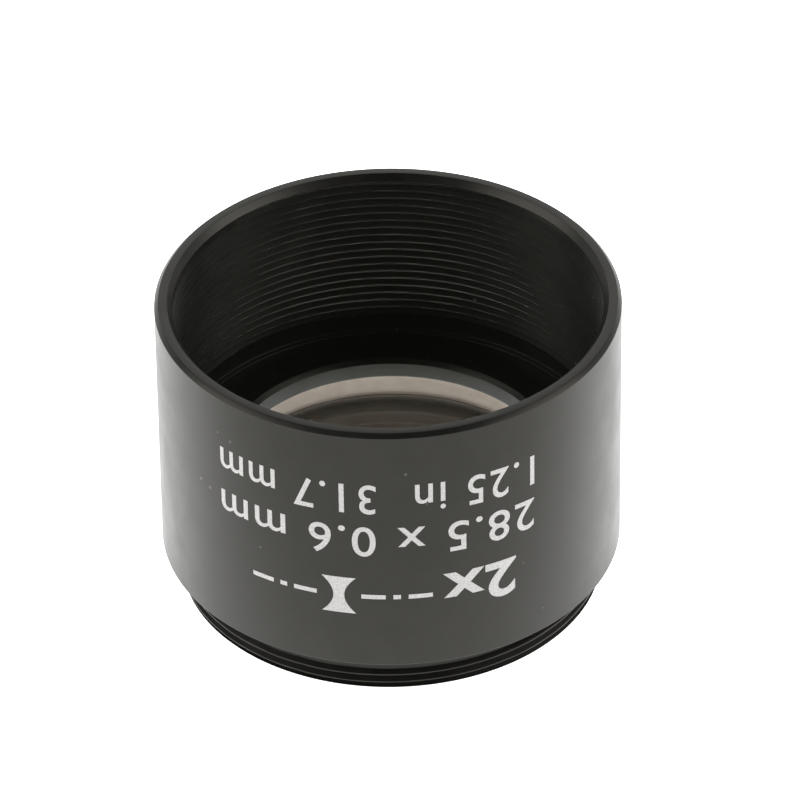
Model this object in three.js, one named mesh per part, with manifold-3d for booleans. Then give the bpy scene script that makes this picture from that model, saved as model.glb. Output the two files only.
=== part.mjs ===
// A 2x Barlow lens cell for 1.25 inch telescope eyepieces, standing on its threaded nose.
// A turned aluminium barrel holds a cemented negative doublet, clamped by a slotted retaining ring.
// Millimetres, +Z up along the optical axis, origin at the centre of the nose's end face.
// Every thread is drawn as evenly spaced ridges, one pitch apart.
import * as THREE from "three";
import { mergeVertices } from "three/addons/utils/BufferGeometryUtils.js";
import Module from "manifold-3d";

// ---- driving dimensions ----
const SIDES = 48; // facets of every turned piece
const PITCH = 0.6; // astronomy filter thread
const CLEARANCE = 0.05; // between pieces that rest on each other

const BODY_R = 15.5; // outside of the barrel
const BODY_HEIGHT = 18.77; // from the nose's shoulder to the rim
const NOSE_LENGTH = 2.93;
const NOSE_THREAD_R = 14.25; // male thread, 28.5 mm across its crests
const NOSE_THREAD_TURNS = 2;
const BORE_THREAD_R = 14.6; // female thread, 29.2 mm across its roots
const THREAD_DEPTH = 0.33;
const BORE_THREAD_TURNS = 18;
const BORE_THREAD_START = 0.6; // below the rim, after the lead-in chamfer
const FLOOR_DEPTH = 12.92; // from the rim to the floor that the ring sits flush with

const RIM_CHAMFER = 0.28;
const NOSE_CHAMFER = 0.15; // at the nose's end
const LEAD_IN = 0.46; // height of the steep lead-in chamfer at the female thread's mouth
const FOOT_CHAMFER = 0.12;
const GROOVE_FILLET = 0.4; // at the root of the nose's relief groove, so that the shoulder clears the thread
const FINE_CHAMFER = 0.1;

const LENS_R = 12.0; // edge of both elements
const LENS_TOP = 7.34; // flat rim of the crown element
const CROWN_FRONT_RADIUS = 70; // concave, towards the eyepiece side
const CEMENTED_RADIUS = 40; // the face that the two elements share
const FLINT_REAR_RADIUS = 500; // slightly concave, towards the nose
const CROWN_CENTRE = 1.1; // thickness on the axis
const FLINT_CENTRE = 2.85;
const CROWN_FLAT_RIM = 0.7; // width of the flat ring round the concave face
const CEMENT_THICKNESS = 0.1;
const CEMENT_GAP = 0.02; // left on both faces of the cement film
const LENS_BEVEL = 0.15;

const APERTURE_R = 10.88; // clear opening of the retaining ring
const APERTURE_CHAMFER = 0.3; // round its upper edge
const RING_R = 14.1;
const RING_HEIGHT = 1.38;
const SLOT_WIDTH = 1.5;
const SLOT_DEPTH = 0.7;
const SLOT_REACH = 1.89; // how far each spanner slot runs out from the clear opening

// ---- heights that follow from them ----
const RIM_Z = NOSE_LENGTH + BODY_HEIGHT;
const FLOOR_Z = RIM_Z - FLOOR_DEPTH;
const RING_BOTTOM = LENS_TOP + CLEARANCE;
const RING_TOP = RING_BOTTOM + RING_HEIGHT;
const CROWN_FRONT_VERTEX = LENS_TOP - sag(CROWN_FRONT_RADIUS, LENS_R - CROWN_FLAT_RIM);
const CROWN_REAR_VERTEX = CROWN_FRONT_VERTEX - CROWN_CENTRE;
const CEMENT_FRONT_VERTEX = CROWN_REAR_VERTEX - CEMENT_GAP;
const CEMENT_REAR_VERTEX = CEMENT_FRONT_VERTEX - CEMENT_THICKNESS;
const FLINT_FRONT_VERTEX = CEMENT_REAR_VERTEX - CEMENT_GAP;
const FLINT_REAR_VERTEX = FLINT_FRONT_VERTEX - FLINT_CENTRE;
const FLINT_FOOT = FLINT_REAR_VERTEX - sag(FLINT_REAR_RADIUS, LENS_R - LENS_BEVEL);
const SEAT_Z = FLINT_FOOT - CLEARANCE;

// Depth of a spherical face of this radius at the distance r from the axis.
function sag(radius, r) {
  return radius - Math.sqrt(radius * radius - r * r);
}

// Points of a spherical face from one distance to another. Its middle is its highest point where rise is -1.
function face(vertexZ, radius, rise, fromR, toR, steps = 8) {
  return Array.from({ length: steps + 1 }, (_, i) => {
    const r = fromR + ((toR - fromR) * i) / steps;
    return [r, vertexZ + rise * sag(radius, r)];
  });
}

// Ridges of a thread from one height to another: crest, root, crest, one pitch apart.
function ridges(crestR, rootR, fromZ, direction, turns) {
  const points = [];
  for (let turn = 0; turn < turns; turn++) {
    const z = fromZ + direction * turn * PITCH;
    points.push([crestR, z], [rootR, z + (direction * PITCH) / 2]);
  }
  points.push([crestR, fromZ + direction * turns * PITCH]);
  return points;
}

// A turned solid from its outline in (r, z). An outline that leaves the axis closes on itself.
function turned(outline) {
  const points = outline.map(([r, z]) => new THREE.Vector2(r, z));
  if (outline[0][0] > 0) points.push(points[0].clone());
  return new THREE.LatheGeometry(points, SIDES).rotateX(Math.PI / 2);
}

// ---- barrel ----
function barrelOutline() {
  const noseRootR = NOSE_THREAD_R - THREAD_DEPTH;
  const noseThreadStart = NOSE_CHAMFER;
  const noseThread = ridges(NOSE_THREAD_R, noseRootR, noseThreadStart, 1, NOSE_THREAD_TURNS);
  const noseThreadEnd = noseThreadStart + NOSE_THREAD_TURNS * PITCH;
  const boreCrestR = BORE_THREAD_R - THREAD_DEPTH;
  const boreThreadStart = RIM_Z - BORE_THREAD_START;
  const boreThread = ridges(boreCrestR, BORE_THREAD_R, boreThreadStart, -1, BORE_THREAD_TURNS);
  const boreThreadEnd = boreThreadStart - BORE_THREAD_TURNS * PITCH;
  const ringBoreR = RING_R + 2 * CLEARANCE;
  const lensBoreR = LENS_R + 2 * CLEARANCE;
  const ringLedge = LENS_TOP - 0.4; // the ring clamps the glass before it meets this ledge
  const seatR = APERTURE_R + 0.32;
  return [
    [seatR + FINE_CHAMFER, 0],
    [NOSE_THREAD_R - NOSE_CHAMFER, 0],
    ...noseThread,
    [noseRootR, noseThreadEnd + 0.2],
    [noseRootR, NOSE_LENGTH - GROOVE_FILLET],
    [noseRootR + GROOVE_FILLET, NOSE_LENGTH],
    [BODY_R - FOOT_CHAMFER, NOSE_LENGTH],
    [BODY_R, NOSE_LENGTH + FOOT_CHAMFER],
    [BODY_R, RIM_Z - RIM_CHAMFER],
    [BODY_R - RIM_CHAMFER, RIM_Z],
    [BORE_THREAD_R, RIM_Z],
    [boreCrestR, RIM_Z - LEAD_IN],
    ...boreThread,
    [BORE_THREAD_R, boreThreadEnd - 0.2],
    [BORE_THREAD_R, FLOOR_Z],
    [ringBoreR + FINE_CHAMFER, FLOOR_Z],
    [ringBoreR, FLOOR_Z - FINE_CHAMFER],
    [ringBoreR, ringLedge],
    [lensBoreR, ringLedge],
    [lensBoreR, SEAT_Z],
    [seatR, SEAT_Z],
    [seatR, FINE_CHAMFER],
  ];
}

// ---- cemented doublet ----
function crownOutline() {
  const edge = CROWN_REAR_VERTEX - sag(CEMENTED_RADIUS, LENS_R - LENS_BEVEL);
  return [
    ...face(CROWN_REAR_VERTEX, CEMENTED_RADIUS, -1, 0, LENS_R - LENS_BEVEL),
    [LENS_R, edge + LENS_BEVEL],
    [LENS_R, LENS_TOP - LENS_BEVEL],
    [LENS_R - LENS_BEVEL, LENS_TOP],
    ...face(CROWN_FRONT_VERTEX, CROWN_FRONT_RADIUS, 1, LENS_R - CROWN_FLAT_RIM, 0),
  ];
}

function cementOutline() {
  const filmR = LENS_R - 2 * LENS_BEVEL;
  return [
    ...face(CEMENT_REAR_VERTEX, CEMENTED_RADIUS, -1, 0, filmR),
    ...face(CEMENT_FRONT_VERTEX, CEMENTED_RADIUS, -1, filmR, 0),
  ];
}

function flintOutline() {
  const edge = FLINT_FRONT_VERTEX - sag(CEMENTED_RADIUS, LENS_R - LENS_BEVEL);
  return [
    ...face(FLINT_REAR_VERTEX, FLINT_REAR_RADIUS, -1, 0, LENS_R - LENS_BEVEL),
    [LENS_R, FLINT_FOOT + LENS_BEVEL],
    [LENS_R, edge - LENS_BEVEL],
    ...face(FLINT_FRONT_VERTEX, CEMENTED_RADIUS, -1, LENS_R - LENS_BEVEL, 0),
  ];
}

// ---- retaining ring, with two spanner slots ----
const wasm = await Module();
wasm.setup();

function solidOf(geometry) {
  const bare = geometry.clone().deleteAttribute("normal").deleteAttribute("uv");
  const merged = mergeVertices(bare, 1e-4);
  const vertProperties = new Float32Array(merged.attributes.position.array);
  const triVerts = new Uint32Array(merged.index.array);
  return new wasm.Manifold(new wasm.Mesh({ numProp: 3, vertProperties, triVerts }));
}

function geometryOf(solid) {
  const { vertProperties, triVerts } = solid.getMesh();
  return new THREE.BufferGeometry()
    .setAttribute("position", new THREE.BufferAttribute(new Float32Array(vertProperties), 3))
    .setIndex(new THREE.BufferAttribute(new Uint32Array(triVerts), 1));
}

function ringGeometry() {
  const outline = [
    [APERTURE_R, RING_BOTTOM],
    [RING_R - FINE_CHAMFER, RING_BOTTOM],
    [RING_R, RING_BOTTOM + FINE_CHAMFER],
    [RING_R, RING_TOP - FINE_CHAMFER],
    [RING_R - FINE_CHAMFER, RING_TOP],
    [APERTURE_R + APERTURE_CHAMFER, RING_TOP],
    [APERTURE_R, RING_TOP - APERTURE_CHAMFER],
  ];
  // One bar across the ring, ending inside the metal, cuts both slots.
  const bar = new THREE.BoxGeometry(2 * (APERTURE_R + SLOT_REACH), SLOT_WIDTH, 2 * SLOT_DEPTH);
  bar.translate(0, 0, RING_TOP);
  return geometryOf(solidOf(turned(outline)).subtract(solidOf(bar)));
}

// ---- assembly ----
const anodised = new THREE.MeshStandardMaterial({ color: 0x1c1c1d, roughness: 0.42, metalness: 0.6 });
const crownGlass = new THREE.MeshStandardMaterial({ color: 0xdfe6ea, roughness: 0.03, metalness: 0 });
const flintGlass = new THREE.MeshStandardMaterial({ color: 0xe6e4da, roughness: 0.03, metalness: 0 });
const cement = new THREE.MeshStandardMaterial({ color: 0xf2ecd8, roughness: 0.1, metalness: 0 });

const pieces = [
  ["barrel", turned(barrelOutline()), anodised],
  ["retaining_ring", ringGeometry(), anodised],
  ["crown_element", turned(crownOutline()), crownGlass],
  ["cement_film", turned(cementOutline()), cement],
  ["flint_element", turned(flintOutline()), flintGlass],
];

const barlow = new THREE.Group();
for (const [name, geometry, material] of pieces) {
  const mesh = new THREE.Mesh(geometry, material);
  mesh.name = name;
  barlow.add(mesh);
}

export default barlow;
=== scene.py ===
"""Looks for the 2x Barlow lens cell: a threaded barrel, its retaining ring and the cemented doublet.

Sizes below are millimetres. The origin is the centre of the nose's end face, and +Z is the optical axis.
"""

import math

import bmesh
import bpy
from mathutils import Matrix, Vector


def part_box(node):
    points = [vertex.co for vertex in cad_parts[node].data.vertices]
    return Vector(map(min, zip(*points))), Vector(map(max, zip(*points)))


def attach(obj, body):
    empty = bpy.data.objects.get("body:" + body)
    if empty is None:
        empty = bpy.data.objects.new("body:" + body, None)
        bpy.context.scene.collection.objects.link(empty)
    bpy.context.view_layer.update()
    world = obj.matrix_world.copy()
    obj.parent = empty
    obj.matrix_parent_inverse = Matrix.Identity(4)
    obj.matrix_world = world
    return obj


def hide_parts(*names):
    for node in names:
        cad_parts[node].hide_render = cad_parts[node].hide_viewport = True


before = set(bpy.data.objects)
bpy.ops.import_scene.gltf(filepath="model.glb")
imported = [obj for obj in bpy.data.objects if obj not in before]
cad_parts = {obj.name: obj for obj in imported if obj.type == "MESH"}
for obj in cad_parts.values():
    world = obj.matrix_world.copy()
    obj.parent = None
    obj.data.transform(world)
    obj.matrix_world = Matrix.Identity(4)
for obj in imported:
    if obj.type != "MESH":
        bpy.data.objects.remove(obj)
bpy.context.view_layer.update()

MM = 0.001

# ---- heights and radii of the metal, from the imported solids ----
RIM_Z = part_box("barrel")[1].z / MM
RING_LOW, RING_HIGH = (corner.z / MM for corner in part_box("retaining_ring"))
BODY_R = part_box("barrel")[1].x / MM - 0.015  # the print stands 0.015 proud of it
SHOULDER_Z = 2.935
NOSE_ROOT_R = 13.9
NOSE_CREST_R = 14.25
NOSE_END_R = 14.1
NOSE_CHAMFER_R = 14.19  # where the chamfer of the nose's end meets its thread
RIM_CHAMFER = 0.28  # its height
RIM_CHAMFER_REACH = 0.27  # its width
RIM_FALL = 0.015  # how much lower the rim's outer edge lies than its inner edge
MOUTH_R = 14.62  # of the female thread's lead-in chamfer
BORE_R = 14.27  # crests of the female thread
BORE_ROOT_R = 14.6
LEDGE_Z = 6.94  # bottom of the ring's bore
LENS_BORE_R = 12.1
SEAT_R = 11.2
SEAT_Z = 2.14
RING_R = 14.1
RING_BORE_R = 14.2
APERTURE_R = 10.88
APERTURE_CHAMFER = 0.3
SLOT_WIDTH = 1.5
SLOT_DEPTH = 0.7
SLOT_END_R = 12.77
PITCH = 0.6
THREAD_TOP = RIM_Z - 0.47
THREAD_START = 0.377  # where round the bore the thread begins, in turns from +X
THREAD_TURNS = 18
THREAD_BOTTOM = THREAD_TOP - PITCH * (THREAD_TURNS + 1) - 0.03
NOSE_THREAD_TOP = 1.46
NOSE_THREAD_BOTTOM = 0.11

COLUMNS = 288  # facets round the barrel
RING_COLUMNS = 192
LENS_COLUMNS = 160

# One pitch of a 60 degree thread: (share of the pitch, depth from crest to root), with rounded corners.
THREAD_FORM = [
    (0.0, 0.07), (0.03, 0.0), (0.15, 0.0), (0.18, 0.07), (0.5, 0.93), (0.53, 1.0), (0.65, 1.0), (0.68, 0.93)]


def clamp01(x):
    return min(1.0, max(0.0, x))


def smooth01(x):
    x = clamp01(x)
    return x * x * (3 - 2 * x)


def thread_depth(phase):
    """Depth of the thread's groove at a share of the pitch, 0 at the crest and 1 at the root."""
    phase %= 1.0
    stops = THREAD_FORM + [(1.0, THREAD_FORM[0][1])]
    for (p, d), (q, e) in zip(stops, stops[1:]):
        if phase <= q:
            return d + (e - d) * (phase - p) / (q - p)
    return stops[-1][1]


class Skin:
    """A closed surface, made of rings of vertices round the optical axis. Millimetres."""

    def __init__(self, columns=COLUMNS):
        self.columns = columns
        self.points = []
        self.faces = []
        self.slots = []

    def point(self, r, turn, z):
        self.points.append((r * math.cos(math.tau * turn) * MM, r * math.sin(math.tau * turn) * MM, z * MM))
        return len(self.points) - 1

    def ring(self, r, z):
        """r may be a function of the turn."""
        n = self.columns
        return [self.point(r(j / n) if callable(r) else r, j / n, z) for j in range(n)]

    def face(self, corners, slot):
        self.faces.append(corners)
        self.slots.append(slot)

    def band(self, a, b, slot=0):
        for j in range(self.columns):
            k = (j + 1) % self.columns
            self.face((a[j], a[k], b[k], b[j]), slot)

    def cap(self, a, z, slot=0):
        middle = self.point(0, 0, z)
        for j in range(self.columns):
            self.face((a[j], a[(j + 1) % self.columns], middle), slot)

    def chain(self, outline, slot=0, start=None):
        """Rings through the outline's (r, z) points, each joined to the last. Returns the last ring."""
        last = start
        for r, z in outline:
            ring = self.ring(r, z)
            if last is not None:
                self.band(last, ring, slot)
            last = ring
        return last

    def helix(self, top, bottom, top_z, turns, radius, start=0.0, slot=0):
        """A right-handed thread between two rings. radius(depth, z) gives its surface's radius.

        Its rows follow the helix and step down one pitch at the seam.
        """
        n, m = self.columns, len(THREAD_FORM)
        shift = round(start * n)
        top, bottom = top[shift:] + top[:shift], bottom[shift:] + bottom[:shift]
        rows = []
        for k in range(turns * m + 1):
            phase, depth = THREAD_FORM[k % m]
            row = []
            for j in range(n):
                z = top_z - PITCH * (1 + k // m + phase - j / n)
                row.append(self.point(radius(depth, z), (j + shift) / n, z))
            rows.append(row)
        last = n - 1
        for upper, lower in zip(rows, rows[1:]):
            for j in range(last):
                self.face((upper[j], upper[j + 1], lower[j + 1], lower[j]), slot)
        for k in range(m, len(rows) - 1):
            self.face((rows[k][last], rows[k - m][0], rows[k - m + 1][0], rows[k + 1][last]), slot)
        for j in range(last):
            self.face((top[j], top[j + 1], rows[0][j + 1], rows[0][j]), slot)
            self.face((rows[-1][j], rows[-1][j + 1], bottom[j + 1], bottom[j]), slot)
        fan = [rows[0][0]] + [rows[k][last] for k in range(m, -1, -1)] + [top[last]]
        for a, b in zip(fan, fan[1:]):
            self.face((top[0], a, b), slot)
        fan = [rows[-1][last]] + [rows[len(rows) - 1 - m + i][0] for i in range(m + 1)] + [bottom[0]]
        for a, b in zip(fan, fan[1:]):
            self.face((bottom[last], a, b), slot)

    def build(self, name, materials, sharp=32):
        mesh = bpy.data.meshes.new(name)
        mesh.from_pydata(self.points, [], self.faces)
        mesh.polygons.foreach_set("material_index", self.slots)
        return finished(name, mesh, materials, sharp)


def finished(name, mesh, materials, sharp=32):
    """An object of this mesh, with outward normals and smooth shading up to an angle in degrees."""
    bm = bmesh.new()
    bm.from_mesh(mesh)
    bmesh.ops.recalc_face_normals(bm, faces=bm.faces)
    bm.to_mesh(mesh)
    bm.free()
    for material in materials:
        mesh.materials.append(material)
    mesh.polygons.foreach_set("use_smooth", [True] * len(mesh.polygons))
    mesh.set_sharp_from_angle(angle=math.radians(sharp))
    obj = bpy.data.objects.new(name, mesh)
    bpy.context.collection.objects.link(obj)
    return obj


def rounded(corners, steps=4):
    """An open outline from (r, z, radius) corners, each corner with a radius turned into an arc."""
    points = [corners[0][:2]]
    for before, here, after in zip(corners, corners[1:], corners[2:]):
        corner = Vector(here[:2])
        if not here[2]:
            points.append(tuple(corner))
            continue
        into = (Vector(before[:2]) - corner).normalized()
        out = (Vector(after[:2]) - corner).normalized()
        half = into.angle(out) / 2
        reach = here[2] / math.tan(half)
        centre = corner + (into + out).normalized() * (here[2] / math.sin(half))
        start = corner + into * reach - centre
        end = corner + out * reach - centre
        sweep = start.angle_signed(end)
        points += [tuple(centre + Matrix.Rotation(-sweep * i / steps, 2) @ start) for i in range(steps + 1)]
    points.append(corners[-1][:2])
    return points


# ---- materials ----
def node(tree, kind, inputs=None, output=0, **settings):
    """Adds a node, sets or links its inputs, and returns one of its outputs."""
    made = tree.nodes.new(kind)
    for key, value in settings.items():
        setattr(made, key, value)
    for key, value in (inputs or {}).items():
        if isinstance(value, bpy.types.NodeSocket):
            tree.links.new(value, made.inputs[key])
        else:
            made.inputs[key].default_value = value
    return made.outputs[output]


def math_node(tree, operation, a, b=0.0, c=0.0):
    return node(tree, "ShaderNodeMath", {0: a, 1: b, 2: c}, operation=operation)


def ramp(tree, value, low, high, to_low=0.0, to_high=1.0):
    """value from low..high to to_low..to_high, held at both ends."""
    inputs = {"Value": value, "From Min": low, "From Max": high, "To Min": to_low, "To Max": to_high}
    return node(tree, "ShaderNodeMapRange", inputs, interpolation_type="SMOOTHSTEP")


def mix_colour(tree, share, a, b):
    inputs = {"Factor": share, "A": a, "B": b}
    made = tree.nodes.new("ShaderNodeMix")
    made.data_type = "RGBA"
    for name, value in inputs.items():
        sockets = [s for s in made.inputs if s.name == name and s.enabled]
        if isinstance(value, bpy.types.NodeSocket):
            tree.links.new(value, sockets[0])
        else:
            sockets[0].default_value = value
    return next(s for s in made.outputs if s.enabled)


def blank(name):
    """A new material with a Principled shader. Returns the material, its tree and the shader."""
    material = bpy.data.materials.new(name)
    material.use_nodes = True
    tree = material.node_tree
    return material, tree, tree.nodes["Principled BSDF"]


def grey(level, warmth=0.0):
    return (level * (1 + warmth), level, level * (1 - warmth), 1.0)


def millimetres(tree):
    place = node(tree, "ShaderNodeTexCoord", output=3)
    return node(tree, "ShaderNodeVectorMath", {0: place, "Scale": 1 / MM}, operation="SCALE")


def noise(tree, place, scale, detail=2.0, rough=0.5):
    inputs = {"Vector": place, "Scale": scale, "Detail": detail, "Roughness": rough}
    return node(tree, "ShaderNodeTexNoise", inputs)


def anodised(name, low, high, roughness, ior=1.43, painted_glow=0.0):
    """Satin black dye on turned aluminium: faint turning lines, mottling, lint and rubbed spots, with an
    optional faint painted glow standing in for bounce light.
    """
    material, tree, shader = blank(name)
    place = millimetres(tree)
    height = node(tree, "ShaderNodeSeparateXYZ", {0: place}, output=2)
    inputs = {"W": height, "Scale": 9.0, "Detail": 3.0}
    lines = node(tree, "ShaderNodeTexNoise", inputs, noise_dimensions="1D")
    mottle = noise(tree, place, 0.45, 3.0)
    grain = noise(tree, place, 22.0, 2.0)
    dots = node(tree, "ShaderNodeTexVoronoi", {"Vector": place, "Scale": 0.62, "Randomness": 1.0})
    size = ramp(tree, noise(tree, place, 0.9, 0.0), 0.45, 0.75, 0.0, 0.075)
    lint = math_node(tree, "LESS_THAN", dots, size)
    colour = mix_colour(tree, ramp(tree, mottle, 0.3, 0.7), low, high)
    colour = mix_colour(tree, math_node(tree, "MULTIPLY", lint, 0.5), colour, grey(0.16, 0.04))
    tree.links.new(colour, shader.inputs["Base Color"])
    rough = math_node(tree, "ADD", ramp(tree, mottle, 0.25, 0.75, roughness - 0.03, roughness + 0.03),
                      ramp(tree, lines, 0.3, 0.7, -0.02, 0.02))
    tree.links.new(rough, shader.inputs["Roughness"])
    relief = math_node(tree, "ADD", lines, math_node(tree, "MULTIPLY", grain, 0.5))
    relief = math_node(tree, "ADD", relief, math_node(tree, "MULTIPLY", lint, 4.0))
    bump = node(tree, "ShaderNodeBump", {"Strength": 1.0, "Distance": 1.6e-6, "Height": relief})
    tree.links.new(bump, shader.inputs["Normal"])
    shader.inputs["IOR"].default_value = ior
    shader.inputs["Specular Tint"].default_value = (1.0, 0.985, 0.87, 1)
    # Painted glow: a faint tinted emission standing in for the bounce light that the depths of the bore pick
    # up.
    shader.inputs["Emission Color"].default_value = (0.95, 1, 0.75, 1)
    shader.inputs["Emission Strength"].default_value = painted_glow  # light that the depths of the bore pick up
    return material


def optical_glass(name, ior, coat_nm):
    """Polished glass with a quarter-wave coating and a little dust."""
    material, tree, shader = blank(name)
    place = millimetres(tree)
    dots = node(tree, "ShaderNodeTexVoronoi", {"Vector": place, "Scale": 0.9, "Randomness": 1.0})
    dust = ramp(tree, dots, 0.035, 0.05, 1.0, 0.0)
    haze = noise(tree, place, 0.35, 2.0)
    rough = ramp(tree, haze, 0.3, 0.7, 0.0, 0.012)
    rough = math_node(tree, "ADD", rough, math_node(tree, "MULTIPLY", dust, 0.4))
    tree.links.new(rough, shader.inputs["Roughness"])
    tree.links.new(mix_colour(tree, dust, (0.97, 0.985, 0.98, 1), grey(0.6)), shader.inputs["Base Color"])
    shader.inputs["IOR"].default_value = ior
    shader.inputs["Transmission Weight"].default_value = 1.0
    shader.inputs["Thin Film Thickness"].default_value = coat_nm
    shader.inputs["Thin Film IOR"].default_value = 1.38
    return material


def ground_glass():
    """The lens's edge: ground with fine emery, so white and grainy, with painted shade darkening it towards
    its foot.
    """
    material, tree, shader = blank("ground_edge")
    place = millimetres(tree)
    grain = noise(tree, place, 14.0, 3.0)
    streaks = noise(tree, place, 1.2, 2.0)
    shade = math_node(tree, "MULTIPLY", grain, 0.3)
    shade = math_node(tree, "ADD", shade, math_node(tree, "MULTIPLY", streaks, 0.7))
    colour = mix_colour(tree, ramp(tree, shade, 0.3, 0.7), (0.86, 0.76, 0.66, 1), (0.95, 0.86, 0.76, 1))
    # Painted shade: the edge runs from near black at 2.4 mm up to its full colour at 4.3 mm, standing in for
    # the shade on its lower part.
    height = node(tree, "ShaderNodeSeparateXYZ", {0: place}, output=2)
    colour = mix_colour(tree, ramp(tree, height, 2.4, 4.3), grey(0.03), colour)
    tree.links.new(colour, shader.inputs["Base Color"])
    tree.links.new(ramp(tree, grain, 0.2, 0.8, 0.7, 0.95), shader.inputs["Roughness"])
    bump = node(tree, "ShaderNodeBump", {"Strength": 0.6, "Distance": 4e-6, "Height": grain})
    tree.links.new(bump, shader.inputs["Normal"])
    return material


def clear_cement(name):
    """Balsam between the glasses: almost invisible, since it matches their index."""
    material, tree, shader = blank(name)
    haze = noise(tree, millimetres(tree), 0.5, 2.0)
    colour = mix_colour(tree, haze, (0.95, 0.9, 0.78, 1), (0.98, 0.95, 0.86, 1))
    tree.links.new(colour, shader.inputs["Base Color"])
    tree.links.new(ramp(tree, haze, 0.3, 0.7, 0.2, 0.35), shader.inputs["Roughness"])
    shader.inputs["Alpha"].default_value = 0.02
    return material


def ink():
    """Screen-printed white, thin enough to look grainy."""
    material, tree, shader = blank("white_print")
    place = millimetres(tree)
    grain = noise(tree, place, 9.0, 3.0, 0.6)
    pits = ramp(tree, noise(tree, place, 16.0, 1.0), 0.28, 0.36)
    colour = mix_colour(tree, ramp(tree, grain, 0.3, 0.7), grey(0.52, 0.015), grey(0.68, 0.015))
    tree.links.new(mix_colour(tree, pits, grey(0.3), colour), shader.inputs["Base Color"])
    tree.links.new(ramp(tree, grain, 0.2, 0.8, 0.5, 0.7), shader.inputs["Roughness"])
    bump = node(tree, "ShaderNodeBump", {"Strength": 0.5, "Distance": 3e-6, "Height": grain})
    tree.links.new(bump, shader.inputs["Normal"])
    return material


BARREL = anodised("anodised_barrel", grey(0.008, 0.02), grey(0.012, 0.03), 0.36)
# The bore and the ring get a faint painted glow, an emission standing in for bounce light.
BORE = anodised("anodised_bore", grey(0.009, 0.02), grey(0.012, 0.03), 0.36, painted_glow=0.0024)
BAFFLE = anodised("matt_black_nose_bore", grey(0.006), grey(0.01), 0.75, ior=1.25)
RING = anodised("anodised_ring", grey(0.009, 0.02), grey(0.013, 0.03), 0.36, painted_glow=0.002)
CROWN = optical_glass("crown_glass", 1.55, 105)
FLINT = optical_glass("flint_glass", 1.55, 105)  # the same index, because the cemented faces don't refract
EDGE = ground_glass()
BOND = clear_cement("cemented_face")
CEMENT = clear_cement("cement")
INK = ink()


# ---- barrel ----
def bore_radius(depth, z):
    """Female thread: the groove fades in below the lead-in, and the relief under it cuts the crest away."""
    fade_in = smooth01((THREAD_TOP - z) / (0.5 * PITCH))
    r = BORE_R + (BORE_ROOT_R - BORE_R) * depth * fade_in
    return r + (BORE_ROOT_R - r) * smooth01((THREAD_BOTTOM + 0.3 - z) / 0.3)


def nose_radius(turn, z):
    """Male thread: cut down to its root by the groove above it, and by a chamfer at the nose's end."""
    depth = thread_depth((NOSE_THREAD_TOP - 0.09 - z) / PITCH + turn)
    r = NOSE_CREST_R - (NOSE_CREST_R - NOSE_ROOT_R) * depth
    r = NOSE_ROOT_R + (r - NOSE_ROOT_R) * smooth01((NOSE_THREAD_TOP - z) / 0.12)
    return min(r, NOSE_CHAMFER_R + (z - NOSE_THREAD_BOTTOM) * 0.8)


def baffles():
    """Fine light-trapping grooves in the nose's bore, from its seat down."""
    corners = []
    for i in range(3):
        top = SEAT_Z - 0.25 - i * PITCH
        corners += [(SEAT_R, top, 0), (SEAT_R + 0.28, top - 0.12, 0), (SEAT_R, top - 0.5, 0)]
    return corners


def make_barrel():
    skin = Skin()
    outside = rounded([
        (NOSE_ROOT_R, NOSE_THREAD_TOP, 0),
        (NOSE_ROOT_R, SHOULDER_Z, 0.36),
        (BODY_R, SHOULDER_Z, 0.09),
        (BODY_R, RIM_Z - RIM_CHAMFER, 0.05),
        (BODY_R - RIM_CHAMFER_REACH, RIM_Z - RIM_FALL, 0.04),
        (MOUTH_R, RIM_Z, 0.03),
        (BORE_R, THREAD_TOP, 0),
    ])
    inside = rounded([
        (BORE_ROOT_R, THREAD_BOTTOM, 0),
        (BORE_ROOT_R, RING_HIGH - 0.01, 0.1),
        (RING_BORE_R, RING_HIGH - 0.01, 0.08),
        (RING_BORE_R, LEDGE_Z, 0.05),
        (LENS_BORE_R, LEDGE_Z, 0.08),
        (LENS_BORE_R, SEAT_Z, 0.05),
        (SEAT_R, SEAT_Z, 0.05),
        *baffles(),
        (SEAT_R, 0, 0.12),
        (NOSE_END_R, 0, 0.03),
        (NOSE_CHAMFER_R, NOSE_THREAD_BOTTOM, 0),
    ])
    nose_top = skin.ring(*outside[0])
    bore_top = skin.chain(outside[1:], start=nose_top)
    bore_bottom = skin.ring(*inside[0])
    pocket = [corner for corner in inside[1:] if corner[1] > SEAT_Z - 0.01]
    seat = skin.chain(pocket, 1, start=bore_bottom)
    nose_bottom = skin.chain(inside[1 + len(pocket):], 2, start=seat)
    skin.helix(bore_top, bore_bottom, THREAD_TOP, THREAD_TURNS, bore_radius, THREAD_START, 1)
    rows = 56
    last = nose_bottom
    for i in range(1, rows):
        z = NOSE_THREAD_BOTTOM + (NOSE_THREAD_TOP - NOSE_THREAD_BOTTOM) * i / rows
        ring = skin.ring(lambda turn: nose_radius(turn, z), z)
        skin.band(last, ring)
        last = ring
    skin.band(last, nose_top)
    return skin.build("turned_barrel", [BARREL, BORE, BAFFLE])


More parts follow.
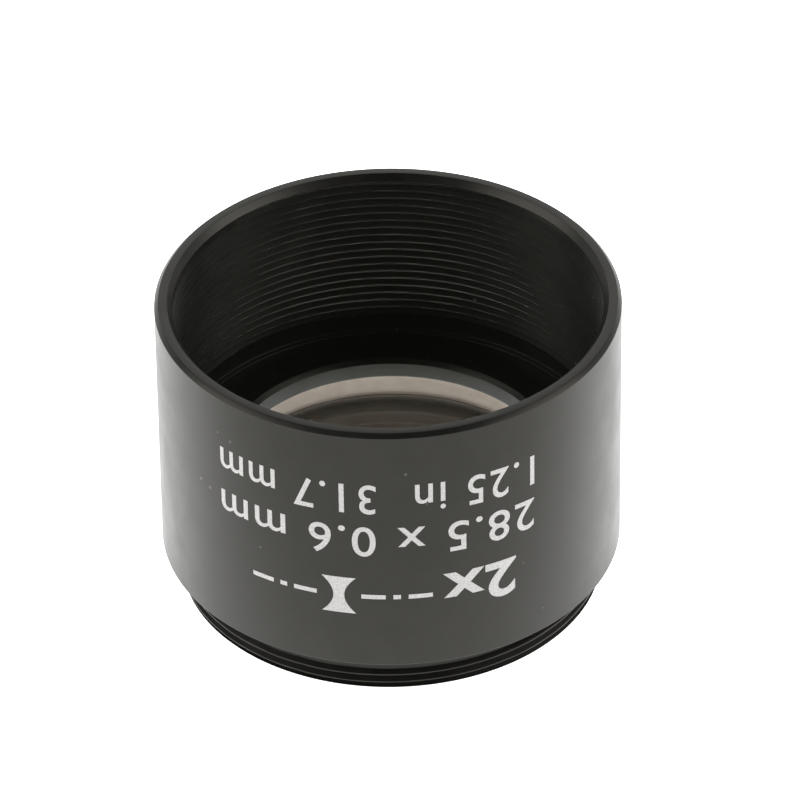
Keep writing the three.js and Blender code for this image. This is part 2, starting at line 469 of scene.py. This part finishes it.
# ---- retaining ring ----
def make_ring():
    skin = Skin(RING_COLUMNS)
    outline = rounded([
        (APERTURE_R, (RING_LOW + RING_HIGH) / 2, 0),
        (APERTURE_R, RING_LOW, 0.05),
        (RING_R, RING_LOW, 0.1),
        (RING_R, RING_HIGH, 0.1),
        (APERTURE_R + APERTURE_CHAMFER, RING_HIGH, 0.03),
        (APERTURE_R, RING_HIGH - APERTURE_CHAMFER, 0.03),
        (APERTURE_R, (RING_LOW + RING_HIGH) / 2, 0),
    ], steps=3)[:-1]
    first = skin.ring(*outline[0])
    skin.band(skin.chain(outline[1:], start=first), first)
    ring = skin.build("slotted_ring", [RING])
    cutter_mesh = bpy.data.meshes.new("slot_cutter")
    bm = bmesh.new()
    size = Matrix.Diagonal((2 * SLOT_END_R * MM, SLOT_WIDTH * MM, 2 * SLOT_DEPTH * MM, 1))
    bmesh.ops.create_cube(bm, size=1.0, matrix=size)
    bm.to_mesh(cutter_mesh)
    bm.free()
    cutter = bpy.data.objects.new("slot_cutter", cutter_mesh)
    cutter.location.z = RING_HIGH * MM
    bpy.context.collection.objects.link(cutter)
    cut = ring.modifiers.new("slots", "BOOLEAN")
    cut.object, cut.operation, cut.solver = cutter, "DIFFERENCE", "EXACT"
    soften = ring.modifiers.new("broken_edges", "BEVEL")
    soften.width, soften.segments = 0.04 * MM, 2
    soften.limit_method, soften.angle_limit = "ANGLE", math.radians(50)
    evaluated = ring.evaluated_get(bpy.context.evaluated_depsgraph_get())
    mesh = bpy.data.meshes.new_from_object(evaluated)
    ring.modifiers.clear()
    ring.data = mesh
    bpy.data.objects.remove(cutter)
    mesh.polygons.foreach_set("use_smooth", [True] * len(mesh.polygons))
    mesh.set_sharp_from_angle(angle=math.radians(32))
    return ring


# ---- glass ----
LENS_R = 12.0
LENS_TOP = RING_LOW - 0.05
FRONT_R, BOND_R, REAR_R = 70.0, 40.0, 500.0
CROWN_CENTRE, FLINT_CENTRE = 1.1, 2.85  # thicknesses on the axis
BOND_GAP = 0.14  # between the two glasses
FILM_CLEARANCE = 0.02
FLAT_RIM = 0.7  # width of the flat ring round the concave front
BEVEL = 0.15


def sag(radius, r):
    return radius - math.sqrt(radius * radius - r * r)


FRONT_VERTEX = LENS_TOP - sag(FRONT_R, LENS_R - FLAT_RIM)
CROWN_REAR = FRONT_VERTEX - CROWN_CENTRE
FLINT_FRONT = CROWN_REAR - BOND_GAP
FLINT_REAR = FLINT_FRONT - FLINT_CENTRE
FLINT_FOOT = FLINT_REAR - sag(REAR_R, LENS_R - BEVEL)


def dish(vertex_z, radius, rise, rim_r, steps=26):
    """(r, z) points of a spherical face from near the axis to its rim."""
    radii = [rim_r * i / steps for i in range(1, steps + 1)]
    return [(r, vertex_z + rise * sag(radius, r)) for r in radii]


def lens(name, top, top_z, top_slot, edge, bottom, bottom_z, bottom_slot, materials):
    """Two spherical faces, given from the axis outwards, joined by an edge from the top one down."""
    skin = Skin(LENS_COLUMNS)
    ring = skin.ring(*top[0])
    skin.cap(ring, top_z, top_slot)
    ring = skin.chain(top[1:], top_slot, start=ring)
    ring = skin.chain(edge + [bottom[-1]], 1, start=ring)
    ring = skin.chain(bottom[-2::-1], bottom_slot, start=ring)
    skin.cap(ring, bottom_z, bottom_slot)
    return skin.build(name, materials, 24)


def make_lenses():
    rim = LENS_R - BEVEL
    crown_foot = CROWN_REAR - sag(BOND_R, rim)
    crown = lens(
        "crown_lens", dish(FRONT_VERTEX, FRONT_R, 1, LENS_R - FLAT_RIM), FRONT_VERTEX, 0,
        [(rim, LENS_TOP), (LENS_R, LENS_TOP - BEVEL), (LENS_R, crown_foot + BEVEL)],
        dish(CROWN_REAR, BOND_R, -1, rim), CROWN_REAR, 2, [CROWN, EDGE, BOND])
    film_front, film_rear = CROWN_REAR - FILM_CLEARANCE, FLINT_FRONT + FILM_CLEARANCE
    film = lens(
        "balsam_film", dish(film_front, BOND_R, -1, rim - BEVEL), film_front, 0, [],
        dish(film_rear, BOND_R, -1, rim - BEVEL), film_rear, 0, [CEMENT, CEMENT])
    flint_shoulder = FLINT_FRONT - sag(BOND_R, rim)
    flint = lens(
        "flint_lens", dish(FLINT_FRONT, BOND_R, -1, rim), FLINT_FRONT, 2,
        [(LENS_R, flint_shoulder - BEVEL), (LENS_R, FLINT_FOOT + BEVEL)],
        dish(FLINT_REAR, REAR_R, -1, rim), FLINT_REAR, 0, [FLINT, EDGE, BOND])
    return crown, film, flint


# ---- print ----
CAPITAL = 0.729  # height of a capital in the built-in font, as a share of its size
ROW_START = 142.7  # where the two long rows begin, in degrees from +Y towards +X
ROW_WIDTH = 22.4  # of the two long rows
ROW_DROPS = 4.05, 7.46, 11.65  # of the three rows' upper edges below the rim


def flat_text(words, height, width, weight):
    """A flat mesh of the words on the line y = 0, with capitals this tall and all of it this wide."""
    curve = bpy.data.curves.new("words", "FONT")
    curve.body = words
    curve.resolution_u = 6
    curve.size = height / CAPITAL * MM
    curve.offset = weight * MM
    curve.space_character = 1.12
    holder = bpy.data.objects.new("words", curve)
    bpy.context.collection.objects.link(holder)
    bpy.context.view_layer.update()
    mesh = bpy.data.meshes.new_from_object(holder.evaluated_get(bpy.context.evaluated_depsgraph_get()))
    bpy.data.objects.remove(holder)
    bm = bmesh.new()
    bm.from_mesh(mesh)
    bpy.data.meshes.remove(mesh)
    left, right = (pick(v.co.x for v in bm.verts) for pick in (min, max))
    for v in bm.verts:
        v.co.x = (v.co.x - left) / (right - left) * width * MM
    return bm


def wrap(name, bm, start_degrees, base_z, inner=-0.008, outer=0.0149):
    """Cuts a flat drawing into narrow strips and wraps it round the barrel, upside down, as a layer of ink.

    Angles run from +Y towards +X.
    """
    bmesh.ops.remove_doubles(bm, verts=bm.verts, dist=1e-7)
    xs = [v.co.x for v in bm.verts]
    step = 0.4 * MM
    cut = math.ceil(min(xs) / step) * step
    while cut < max(xs):
        parts = bm.verts[:] + bm.edges[:] + bm.faces[:]
        bmesh.ops.bisect_plane(bm, geom=parts, plane_co=(cut, 0, 0), plane_no=(1, 0, 0), dist=1e-8)
        cut += step
    bmesh.ops.triangulate(bm, faces=bm.faces)
    bmesh.ops.dissolve_degenerate(bm, dist=1e-7, edges=bm.edges)
    kept = bm.faces[:]
    made = bmesh.ops.extrude_face_region(bm, geom=kept, use_keep_orig=True)
    raised = {v for v in made["geom"] if isinstance(v, bmesh.types.BMVert)}
    for v in bm.verts:
        r = (BODY_R + (outer if v in raised else inner)) * MM
        angle = math.radians(start_degrees) + v.co.x / (BODY_R * MM)
        v.co = (r * math.sin(angle), r * math.cos(angle), base_z * MM - v.co.y)
    mesh = bpy.data.meshes.new(name)
    bm.to_mesh(mesh)
    bm.free()
    return finished(name, mesh, [INK], 40)


def polygon(bm, points):
    bm.faces.new([bm.verts.new((x * MM, y * MM, 0)) for x, y in points])


def lens_symbol():
    """A negative lens on its dashed axis: a plain drawing of the lens's kind."""
    bm = bmesh.new()
    tall, wide, waist, middle = 2.9, 1.15, 0.36, 6.2
    side = []
    for i in range(13):
        y = tall * i / 12
        bulge = (2 * y / tall - 1) ** 2
        side.append((waist + (wide - waist) * bulge, y))
    polygon(bm, [(middle + x, y) for x, y in side] + [(middle - x, y) for x, y in reversed(side)])
    half = tall / 2
    low, high = half - 0.17, half + 0.17
    for x0, x1 in ((0.0, 1.6), (2.1, 2.6), (3.1, 4.7), (7.7, 9.3), (9.8, 10.3), (10.8, 12.4)):
        polygon(bm, [(x0, low), (x1, low), (x1, high), (x0, high)])
    return bm


def make_print():
    first, second, third = (RIM_Z - drop for drop in ROW_DROPS)
    return [
        wrap("print_size", flat_text("1.25 in  31.7 mm", 2.41, ROW_WIDTH, 0.02), ROW_START, first),
        wrap("print_thread", flat_text("28.5 x 0.6 mm", 2.46, ROW_WIDTH, 0.02), ROW_START, second),
        wrap("print_power", flat_text("2x", 2.9, 5.2, 0.1), 148.2, third),
        wrap("print_symbol", lens_symbol(), 170.0, third),
    ]


barrel = make_barrel()
ring = make_ring()
crown, film, flint = make_lenses()
marks = make_print()

for piece, body, node_name, slot_name in (
    (barrel, "barrel", "barrel", "anodised_barrel"),
    (ring, "ring", "retaining_ring", "anodised_ring"),
    (crown, "doublet", "crown_element", "crown_glass"),
    (film, "doublet", "cement_film", "optical_cement"),
    (flint, "doublet", "flint_element", "flint_glass"),
):
    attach(piece, body)
    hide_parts(node_name)
for mark in marks:
    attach(mark, "barrel")


# ---- floor, light and camera ----
def make_floor():
    material, tree, shader = blank("white_table")
    shader.inputs["Base Color"].default_value = grey(0.82)
    shader.inputs["Roughness"].default_value = 0.7
    place = millimetres(tree)
    y = node(tree, "ShaderNodeSeparateXYZ", {0: place}, output=1)
    tree.links.new(ramp(tree, y, -26.0, 10.0, 1.08, 2.05), shader.inputs["Emission Strength"])
    shader.inputs["Emission Color"].default_value = (1, 1, 1, 1)
    mesh = bpy.data.meshes.new("table")
    height = -0.02 * MM  # just under the nose
    corners = [(x, y, height) for x, y in ((-3, -3), (3, -3), (3, 3), (-3, 3))]  # metres
    mesh.from_pydata(corners, [], [(0, 1, 2, 3)])
    mesh.materials.append(material)
    floor = bpy.data.objects.new("table", mesh)
    bpy.context.collection.objects.link(floor)


# Soft boxes: (depth from, to), (height from, to), softness, brightness.
# Depth is how far a level direction points to the back, from -1 to 1. Height is the sine of the elevation.
BOXES = [
    ((-0.62, 0.2), (0.2, 0.63), 0.1, 3.0),
    ((0.78, 1.5), (0.3, 0.66), 0.08, 1.5),
]
HORIZON = 1.1
HORIZON_HEIGHT = 0.22
AMBIENT = 0.045


def make_world():
    world = bpy.data.worlds.new("studio")
    world.use_nodes = True
    bpy.context.scene.world = world
    tree = world.node_tree
    background = tree.nodes["Background"]
    way = node(tree, "ShaderNodeTexCoord", output=0)
    way = node(tree, "ShaderNodeVectorMath", {0: way}, operation="NORMALIZE")
    up = node(tree, "ShaderNodeSeparateXYZ", {0: way}, output=2)
    near = math_node(tree, "POWER", math_node(tree, "DIVIDE", up, HORIZON_HEIGHT), 2.0)
    glow = math_node(tree, "EXPONENT", math_node(tree, "MULTIPLY", near, -1.0))
    total = math_node(tree, "MULTIPLY", glow, HORIZON)
    total = math_node(tree, "ADD", total, AMBIENT)
    level = math_node(tree, "SQRT", math_node(tree, "SUBTRACT", 1.0001, math_node(tree, "MULTIPLY", up, up)))
    depth = math_node(tree, "DIVIDE", node(tree, "ShaderNodeSeparateXYZ", {0: way}, output=1), level)
    for across, tall, soft, strength in BOXES:
        box = strength
        for value, (low, high) in ((depth, across), (up, tall)):
            inside = ramp(tree, value, low - soft, low + soft)
            box = math_node(tree, "MULTIPLY", box, inside)
            inside = ramp(tree, value, high - soft, high + soft, 1.0, 0.0)
            box = math_node(tree, "MULTIPLY", box, inside)
        total = math_node(tree, "ADD", total, box)
    tree.links.new(total, background.inputs["Strength"])
    background.inputs["Color"].default_value = (1.0, 0.99, 0.975, 1)


CAMERA_DISTANCE = 467.9
CAMERA_ELEVATION, CAMERA_ROLL = 35.989, -0.766  # degrees
AIM_RIGHT, AIM_DOWN = 0.708, 6.806  # in the picture's plane, from the centre of the rim
FOCAL_LENGTH = 318.44  # for a sensor 36 mm wide


def make_camera():
    """A long lens, 36 degrees above the table, aimed a little below the rim."""
    data = bpy.data.cameras.new("camera")
    data.sensor_width = 36.0
    data.lens = FOCAL_LENGTH
    data.clip_start, data.clip_end = 0.02, 20.0
    camera = bpy.data.objects.new("camera", data)
    bpy.context.collection.objects.link(camera)
    elevation, roll = math.radians(CAMERA_ELEVATION), math.radians(CAMERA_ROLL)
    back = Vector((0, -math.cos(elevation), math.sin(elevation)))
    right = Vector((1, 0, 0))
    up = Vector((0, math.sin(elevation), math.cos(elevation)))
    centre = Vector((0, 0, RIM_Z * MM))
    place = centre + (back * CAMERA_DISTANCE + right * AIM_RIGHT - up * AIM_DOWN) * MM
    x = right * math.cos(roll) + up * math.sin(roll)
    y = up * math.cos(roll) - right * math.sin(roll)
    turn = Matrix((x, y, back)).transposed()
    camera.matrix_world = Matrix.Translation(place) @ turn.to_4x4()
    bpy.context.scene.camera = camera


make_floor()
make_world()
make_camera()

scene = bpy.context.scene
scene.view_settings.view_transform = "Standard"
scene.cycles.max_bounces = 20
scene.cycles.transmission_bounces = 20
scene.cycles.transparent_max_bounces = 40
